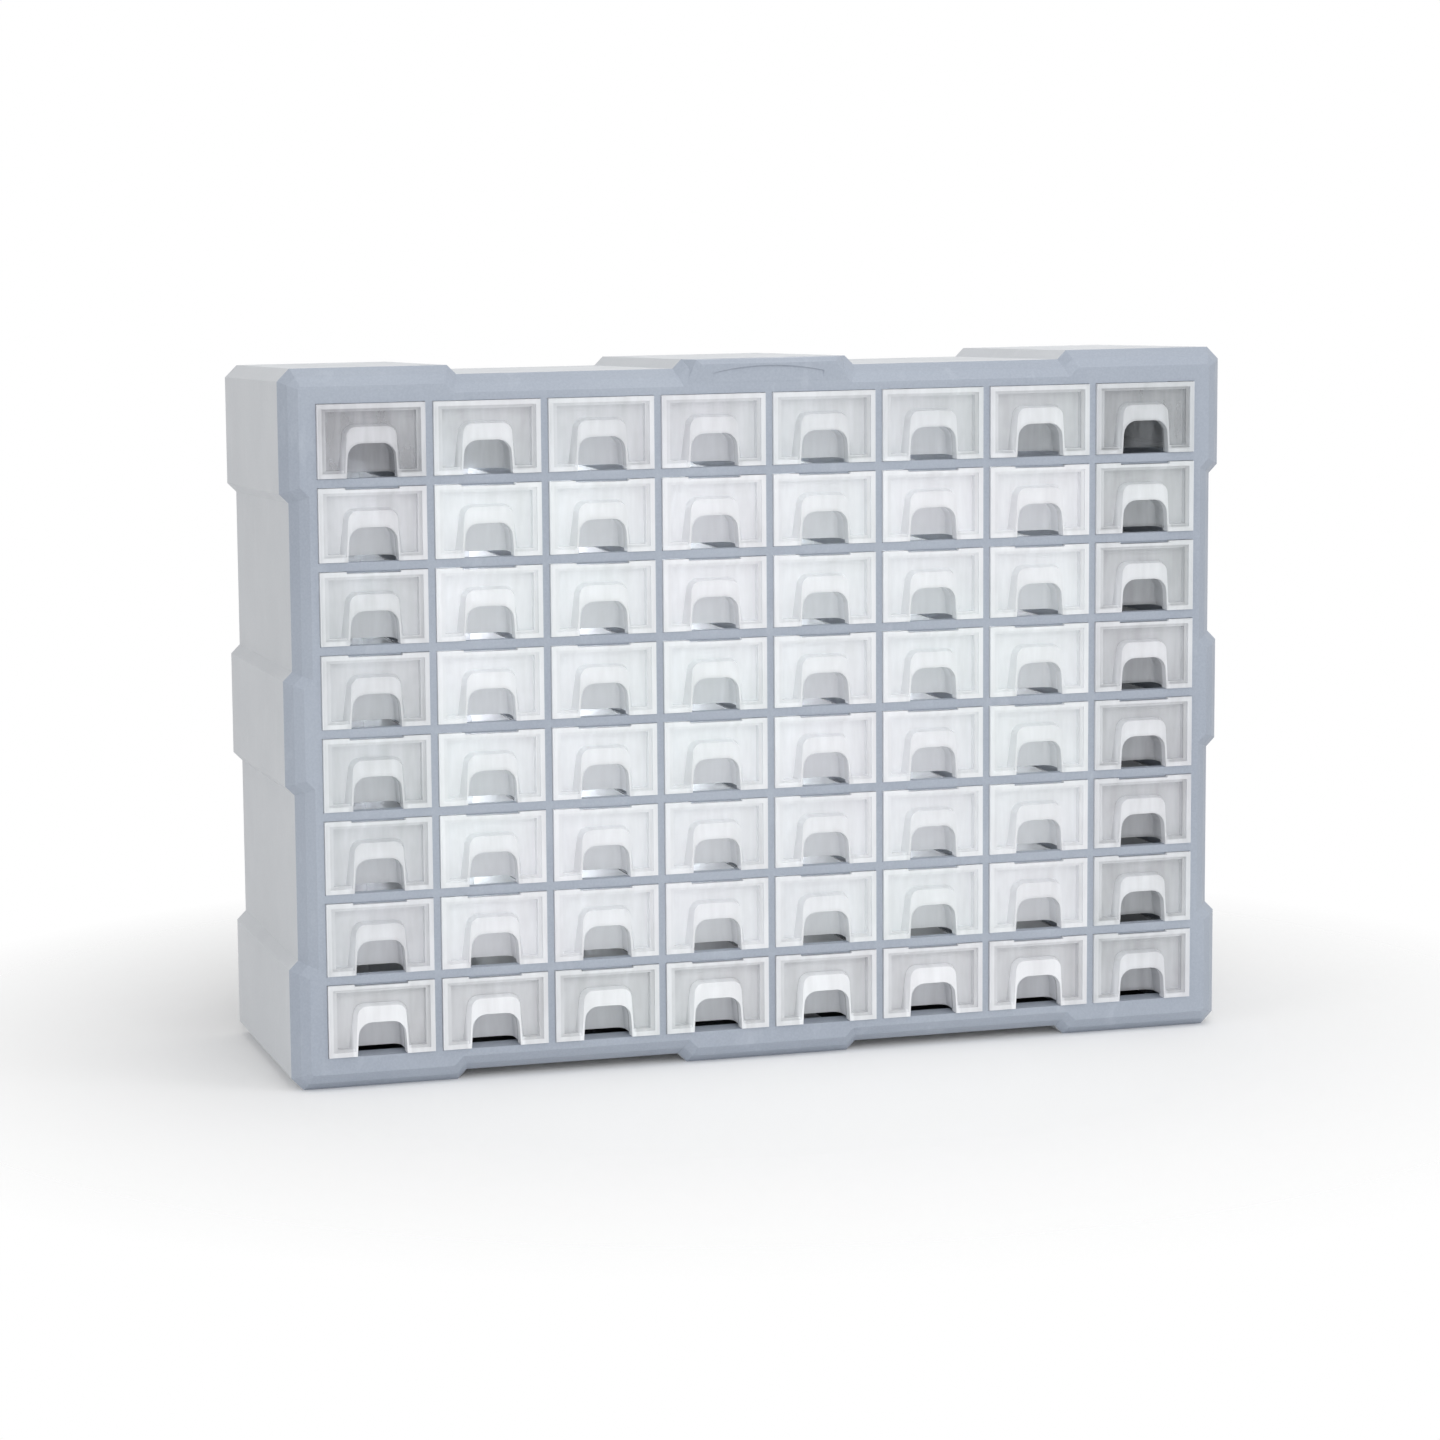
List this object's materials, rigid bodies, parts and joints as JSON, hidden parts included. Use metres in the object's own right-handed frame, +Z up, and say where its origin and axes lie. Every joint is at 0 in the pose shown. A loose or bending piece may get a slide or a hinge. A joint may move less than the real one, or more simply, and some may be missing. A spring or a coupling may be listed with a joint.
{
  "type": "parts bin cabinet",
  "caption": "Small-parts cabinet: a lobed grey case with a bevelled front grid of identical translucent drawers that slide out by arched finger pulls.",
  "frame": {"origin": "middle of the base: the centre of the bounding box in X and Y, on the surface it stands on", "axes": "X to the right as seen from the front, Y from the drawers' fronts to the back, Z up"},
  "size_m": [0.52, 0.1616, 0.375],
  "materials": {
    "frame_plastic": "satin, moulded",
    "case_plastic": "fine-grained, moulded",
    "panel_plastic": "fine-grained, moulded",
    "rail_plastic": "smooth, moulded",
    "drawer_plastic": "frosted, translucent",
    "screw_steel": "zinc plated"
  },
  "bodies": {
    "cabinet": {"front_frame": "frame_plastic", "outer_case": "case_plastic", "back_panel": "panel_plastic", "slide_rails": "rail_plastic", "edge_runners": "rail_plastic", "back_screws": "screw_steel"},
    "drawer_r1_c1": {"drawer_r1_c1": "drawer_plastic"},
    "drawer_r1_c2": {"drawer_r1_c2": "drawer_plastic"},
    "drawer_r1_c3": {"drawer_r1_c3": "drawer_plastic"},
    "drawer_r1_c4": {"drawer_r1_c4": "drawer_plastic"},
    "drawer_r1_c5": {"drawer_r1_c5": "drawer_plastic"},
    "drawer_r1_c6": {"drawer_r1_c6": "drawer_plastic"},
    "drawer_r1_c7": {"drawer_r1_c7": "drawer_plastic"},
    "drawer_r1_c8": {"drawer_r1_c8": "drawer_plastic"},
    "drawer_r2_c1": {"drawer_r2_c1": "drawer_plastic"},
    "drawer_r2_c2": {"drawer_r2_c2": "drawer_plastic"},
    "drawer_r2_c3": {"drawer_r2_c3": "drawer_plastic"},
    "drawer_r2_c4": {"drawer_r2_c4": "drawer_plastic"},
    "drawer_r2_c5": {"drawer_r2_c5": "drawer_plastic"},
    "drawer_r2_c6": {"drawer_r2_c6": "drawer_plastic"},
    "drawer_r2_c7": {"drawer_r2_c7": "drawer_plastic"},
    "drawer_r2_c8": {"drawer_r2_c8": "drawer_plastic"},
    "drawer_r3_c1": {"drawer_r3_c1": "drawer_plastic"},
    "drawer_r3_c2": {"drawer_r3_c2": "drawer_plastic"},
    "drawer_r3_c3": {"drawer_r3_c3": "drawer_plastic"},
    "drawer_r3_c4": {"drawer_r3_c4": "drawer_plastic"},
    "drawer_r3_c5": {"drawer_r3_c5": "drawer_plastic"},
    "drawer_r3_c6": {"drawer_r3_c6": "drawer_plastic"},
    "drawer_r3_c7": {"drawer_r3_c7": "drawer_plastic"},
    "drawer_r3_c8": {"drawer_r3_c8": "drawer_plastic"},
    "drawer_r4_c1": {"drawer_r4_c1": "drawer_plastic"},
    "drawer_r4_c2": {"drawer_r4_c2": "drawer_plastic"},
    "drawer_r4_c3": {"drawer_r4_c3": "drawer_plastic"},
    "drawer_r4_c4": {"drawer_r4_c4": "drawer_plastic"},
    "drawer_r4_c5": {"drawer_r4_c5": "drawer_plastic"},
    "drawer_r4_c6": {"drawer_r4_c6": "drawer_plastic"},
    "drawer_r4_c7": {"drawer_r4_c7": "drawer_plastic"},
    "drawer_r4_c8": {"drawer_r4_c8": "drawer_plastic"},
    "drawer_r5_c1": {"drawer_r5_c1": "drawer_plastic"},
    "drawer_r5_c2": {"drawer_r5_c2": "drawer_plastic"},
    "drawer_r5_c3": {"drawer_r5_c3": "drawer_plastic"},
    "drawer_r5_c4": {"drawer_r5_c4": "drawer_plastic"},
    "drawer_r5_c5": {"drawer_r5_c5": "drawer_plastic"},
    "drawer_r5_c6": {"drawer_r5_c6": "drawer_plastic"},
    "drawer_r5_c7": {"drawer_r5_c7": "drawer_plastic"},
    "drawer_r5_c8": {"drawer_r5_c8": "drawer_plastic"},
    "drawer_r6_c1": {"drawer_r6_c1": "drawer_plastic"},
    "drawer_r6_c2": {"drawer_r6_c2": "drawer_plastic"},
    "drawer_r6_c3": {"drawer_r6_c3": "drawer_plastic"},
    "drawer_r6_c4": {"drawer_r6_c4": "drawer_plastic"},
    "drawer_r6_c5": {"drawer_r6_c5": "drawer_plastic"},
    "drawer_r6_c6": {"drawer_r6_c6": "drawer_plastic"},
    "drawer_r6_c7": {"drawer_r6_c7": "drawer_plastic"},
    "drawer_r6_c8": {"drawer_r6_c8": "drawer_plastic"},
    "drawer_r7_c1": {"drawer_r7_c1": "drawer_plastic"},
    "drawer_r7_c8": {"drawer_r7_c8": "drawer_plastic"},
    "drawer_r8_c1": {"drawer_r8_c1": "drawer_plastic"},
    "drawer_r8_c8": {"drawer_r8_c8": "drawer_plastic"},
    "drawers_row_7_middle": {"drawers_row_7_middle": "drawer_plastic"},
    "drawers_row_8_middle": {"drawers_row_8_middle": "drawer_plastic"}
  },
  "joints": [
    {"name": "r1_c1_slide", "type": "slide", "parent": "cabinet", "child": "drawer_r1_c1", "axis": [0, -1, 0], "range_m": [0, 0.139]},
    {"name": "r1_c2_slide", "type": "slide", "parent": "cabinet", "child": "drawer_r1_c2", "axis": [0, -1, 0], "range_m": [0, 0.139]},
    {"name": "r1_c3_slide", "type": "slide", "parent": "cabinet", "child": "drawer_r1_c3", "axis": [0, -1, 0], "range_m": [0, 0.139]},
    {"name": "r1_c4_slide", "type": "slide", "parent": "cabinet", "child": "drawer_r1_c4", "axis": [0, -1, 0], "range_m": [0, 0.139]},
    {"name": "r1_c5_slide", "type": "slide", "parent": "cabinet", "child": "drawer_r1_c5", "axis": [0, -1, 0], "range_m": [0, 0.139]},
    {"name": "r1_c6_slide", "type": "slide", "parent": "cabinet", "child": "drawer_r1_c6", "axis": [0, -1, 0], "range_m": [0, 0.139]},
    {"name": "r1_c7_slide", "type": "slide", "parent": "cabinet", "child": "drawer_r1_c7", "axis": [0, -1, 0], "range_m": [0, 0.139]},
    {"name": "r1_c8_slide", "type": "slide", "parent": "cabinet", "child": "drawer_r1_c8", "axis": [0, -1, 0], "range_m": [0, 0.139]},
    {"name": "r2_c1_slide", "type": "slide", "parent": "cabinet", "child": "drawer_r2_c1", "axis": [0, -1, 0], "range_m": [0, 0.139]},
    {"name": "r2_c2_slide", "type": "slide", "parent": "cabinet", "child": "drawer_r2_c2", "axis": [0, -1, 0], "range_m": [0, 0.139]},
    {"name": "r2_c3_slide", "type": "slide", "parent": "cabinet", "child": "drawer_r2_c3", "axis": [0, -1, 0], "range_m": [0, 0.139]},
    {"name": "r2_c4_slide", "type": "slide", "parent": "cabinet", "child": "drawer_r2_c4", "axis": [0, -1, 0], "range_m": [0, 0.139]},
    {"name": "r2_c5_slide", "type": "slide", "parent": "cabinet", "child": "drawer_r2_c5", "axis": [0, -1, 0], "range_m": [0, 0.139]},
    {"name": "r2_c6_slide", "type": "slide", "parent": "cabinet", "child": "drawer_r2_c6", "axis": [0, -1, 0], "range_m": [0, 0.139]},
    {"name": "r2_c7_slide", "type": "slide", "parent": "cabinet", "child": "drawer_r2_c7", "axis": [0, -1, 0], "range_m": [0, 0.139]},
    {"name": "r2_c8_slide", "type": "slide", "parent": "cabinet", "child": "drawer_r2_c8", "axis": [0, -1, 0], "range_m": [0, 0.139]},
    {"name": "r3_c1_slide", "type": "slide", "parent": "cabinet", "child": "drawer_r3_c1", "axis": [0, -1, 0], "range_m": [0, 0.139]},
    {"name": "r3_c2_slide", "type": "slide", "parent": "cabinet", "child": "drawer_r3_c2", "axis": [0, -1, 0], "range_m": [0, 0.139]},
    {"name": "r3_c3_slide", "type": "slide", "parent": "cabinet", "child": "drawer_r3_c3", "axis": [0, -1, 0], "range_m": [0, 0.139]},
    {"name": "r3_c4_slide", "type": "slide", "parent": "cabinet", "child": "drawer_r3_c4", "axis": [0, -1, 0], "range_m": [0, 0.139]},
    {"name": "r3_c5_slide", "type": "slide", "parent": "cabinet", "child": "drawer_r3_c5", "axis": [0, -1, 0], "range_m": [0, 0.139]},
    {"name": "r3_c6_slide", "type": "slide", "parent": "cabinet", "child": "drawer_r3_c6", "axis": [0, -1, 0], "range_m": [0, 0.139]},
    {"name": "r3_c7_slide", "type": "slide", "parent": "cabinet", "child": "drawer_r3_c7", "axis": [0, -1, 0], "range_m": [0, 0.139]},
    {"name": "r3_c8_slide", "type": "slide", "parent": "cabinet", "child": "drawer_r3_c8", "axis": [0, -1, 0], "range_m": [0, 0.139]},
    {"name": "r4_c1_slide", "type": "slide", "parent": "cabinet", "child": "drawer_r4_c1", "axis": [0, -1, 0], "range_m": [0, 0.139]},
    {"name": "r4_c2_slide", "type": "slide", "parent": "cabinet", "child": "drawer_r4_c2", "axis": [0, -1, 0], "range_m": [0, 0.139]},
    {"name": "r4_c3_slide", "type": "slide", "parent": "cabinet", "child": "drawer_r4_c3", "axis": [0, -1, 0], "range_m": [0, 0.139]},
    {"name": "r4_c4_slide", "type": "slide", "parent": "cabinet", "child": "drawer_r4_c4", "axis": [0, -1, 0], "range_m": [0, 0.139]},
    {"name": "r4_c5_slide", "type": "slide", "parent": "cabinet", "child": "drawer_r4_c5", "axis": [0, -1, 0], "range_m": [0, 0.139]},
    {"name": "r4_c6_slide", "type": "slide", "parent": "cabinet", "child": "drawer_r4_c6", "axis": [0, -1, 0], "range_m": [0, 0.139]},
    {"name": "r4_c7_slide", "type": "slide", "parent": "cabinet", "child": "drawer_r4_c7", "axis": [0, -1, 0], "range_m": [0, 0.139]},
    {"name": "r4_c8_slide", "type": "slide", "parent": "cabinet", "child": "drawer_r4_c8", "axis": [0, -1, 0], "range_m": [0, 0.139]},
    {"name": "r5_c1_slide", "type": "slide", "parent": "cabinet", "child": "drawer_r5_c1", "axis": [0, -1, 0], "range_m": [0, 0.139]},
    {"name": "r5_c2_slide", "type": "slide", "parent": "cabinet", "child": "drawer_r5_c2", "axis": [0, -1, 0], "range_m": [0, 0.139]},
    {"name": "r5_c3_slide", "type": "slide", "parent": "cabinet", "child": "drawer_r5_c3", "axis": [0, -1, 0], "range_m": [0, 0.139]},
    {"name": "r5_c4_slide", "type": "slide", "parent": "cabinet", "child": "drawer_r5_c4", "axis": [0, -1, 0], "range_m": [0, 0.139]},
    {"name": "r5_c5_slide", "type": "slide", "parent": "cabinet", "child": "drawer_r5_c5", "axis": [0, -1, 0], "range_m": [0, 0.139]},
    {"name": "r5_c6_slide", "type": "slide", "parent": "cabinet", "child": "drawer_r5_c6", "axis": [0, -1, 0], "range_m": [0, 0.139]},
    {"name": "r5_c7_slide", "type": "slide", "parent": "cabinet", "child": "drawer_r5_c7", "axis": [0, -1, 0], "range_m": [0, 0.139]},
    {"name": "r5_c8_slide", "type": "slide", "parent": "cabinet", "child": "drawer_r5_c8", "axis": [0, -1, 0], "range_m": [0, 0.139]},
    {"name": "r6_c1_slide", "type": "slide", "parent": "cabinet", "child": "drawer_r6_c1", "axis": [0, -1, 0], "range_m": [0, 0.139]},
    {"name": "r6_c2_slide", "type": "slide", "parent": "cabinet", "child": "drawer_r6_c2", "axis": [0, -1, 0], "range_m": [0, 0.139]},
    {"name": "r6_c3_slide", "type": "slide", "parent": "cabinet", "child": "drawer_r6_c3", "axis": [0, -1, 0], "range_m": [0, 0.139]},
    {"name": "r6_c4_slide", "type": "slide", "parent": "cabinet", "child": "drawer_r6_c4", "axis": [0, -1, 0], "range_m": [0, 0.139]},
    {"name": "r6_c5_slide", "type": "slide", "parent": "cabinet", "child": "drawer_r6_c5", "axis": [0, -1, 0], "range_m": [0, 0.139]},
    {"name": "r6_c6_slide", "type": "slide", "parent": "cabinet", "child": "drawer_r6_c6", "axis": [0, -1, 0], "range_m": [0, 0.139]},
    {"name": "r6_c7_slide", "type": "slide", "parent": "cabinet", "child": "drawer_r6_c7", "axis": [0, -1, 0], "range_m": [0, 0.139]},
    {"name": "r6_c8_slide", "type": "slide", "parent": "cabinet", "child": "drawer_r6_c8", "axis": [0, -1, 0], "range_m": [0, 0.139]},
    {"name": "r7_c1_slide", "type": "slide", "parent": "cabinet", "child": "drawer_r7_c1", "axis": [0, -1, 0], "range_m": [0, 0.139]},
    {"name": "r7_c8_slide", "type": "slide", "parent": "cabinet", "child": "drawer_r7_c8", "axis": [0, -1, 0], "range_m": [0, 0.139]},
    {"name": "r8_c1_slide", "type": "slide", "parent": "cabinet", "child": "drawer_r8_c1", "axis": [0, -1, 0], "range_m": [0, 0.139]},
    {"name": "r8_c8_slide", "type": "slide", "parent": "cabinet", "child": "drawer_r8_c8", "axis": [0, -1, 0], "range_m": [0, 0.139]},
    {"name": "row_7_middle_slide", "type": "slide", "parent": "cabinet", "child": "drawers_row_7_middle", "axis": [0, -1, 0], "range_m": [0, 0.139]},
    {"name": "row_8_middle_slide", "type": "slide", "parent": "cabinet", "child": "drawers_row_8_middle", "axis": [0, -1, 0], "range_m": [0, 0.139]}
  ]
}
